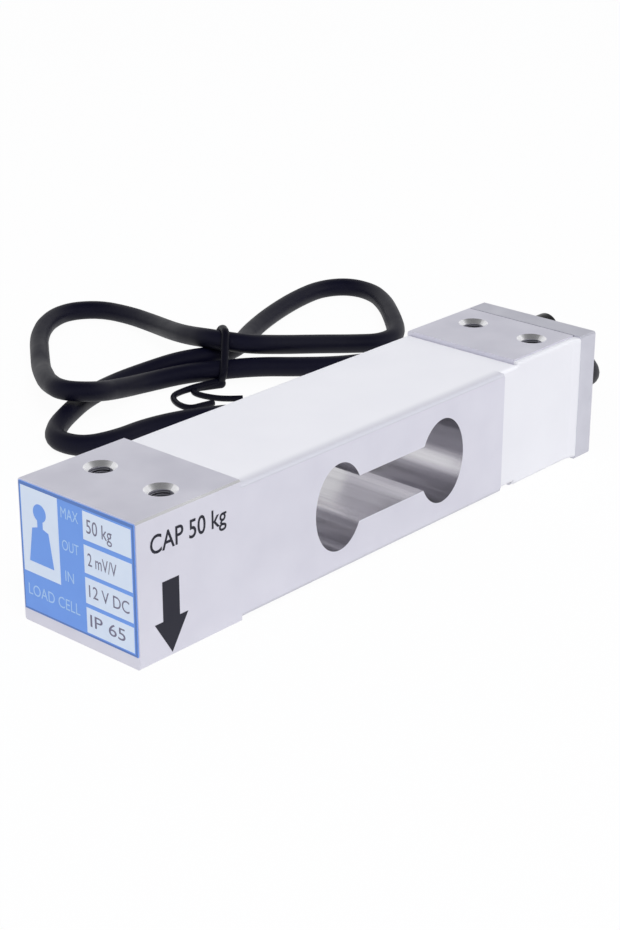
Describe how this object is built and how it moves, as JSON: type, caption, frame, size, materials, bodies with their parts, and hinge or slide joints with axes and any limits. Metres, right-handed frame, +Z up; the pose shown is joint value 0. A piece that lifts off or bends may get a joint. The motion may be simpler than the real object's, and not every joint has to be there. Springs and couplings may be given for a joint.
{
  "type": "single-point load cell",
  "caption": "Aluminium beam load cell for weighing, with a binocular cut-out, raised end pads with tapped holes, white gauge covers, and a black cable tied in a loose hank.",
  "frame": {"origin": "middle of the cable (fixed) end's pair of mounting holes, on the underside", "axes": "+X along the beam from the live end to the cable end, +Y from the wiring side to the back, +Z up"},
  "size_m": [0.2091, 0.172, 0.031],
  "materials": {
    "machined_aluminium": "fine milled, clear anodised, satin",
    "plate_aluminium": "milled, clear anodised, satin",
    "white_silicone": "cast, smooth matt",
    "blackened_steel": "turned, black oxide",
    "black_nylon": "moulded, fine matt grain",
    "black_rubber": "moulded, matt",
    "black_pvc": "extruded, soft sheen",
    "printed_label": "printed vinyl film",
    "polyimide_film": "smooth translucent film",
    "glass_epoxy": "solder-masked board",
    "chip_ceramic": "fired and glazed",
    "tinned_copper": "tinned, bright",
    "core_red_pvc": "extruded, soft sheen",
    "core_black_pvc": "extruded, soft sheen",
    "core_green_pvc": "extruded, soft sheen",
    "core_white_pvc": "extruded, soft sheen"
  },
  "bodies": {
    "root": {"beam_body": "machined_aluminium", "top_gauge_cover": "white_silicone", "bottom_gauge_cover": "white_silicone", "strain_gauge_top_live": "polyimide_film", "strain_gauge_top_fixed": "polyimide_film", "strain_gauge_bottom_live": "polyimide_film", "strain_gauge_bottom_fixed": "polyimide_film", "top_gauge_ribbon": "polyimide_film", "bottom_gauge_ribbon": "polyimide_film", "bridge_board": "glass_epoxy", "trim_resistors": "chip_ceramic", "solder_terminals": "tinned_copper", "inner_cores": "core_white_pvc", "pocket_seal": "white_silicone", "end_gasket": "white_silicone", "end_plate": "plate_aluminium", "end_plate_screws": "blackened_steel", "gland_washer": "black_rubber", "gland_body": "black_nylon", "gland_grommet": "black_rubber", "gland_nut": "black_nylon", "cable": "black_pvc", "cable_tie": "black_pvc", "core_red": "core_red_pvc", "core_black": "core_black_pvc", "core_green": "core_green_pvc", "core_white": "core_white_pvc", "shield_drain": "tinned_copper", "core_tips": "tinned_copper", "rating_label": "printed_label"}
  },
  "joints": []
}
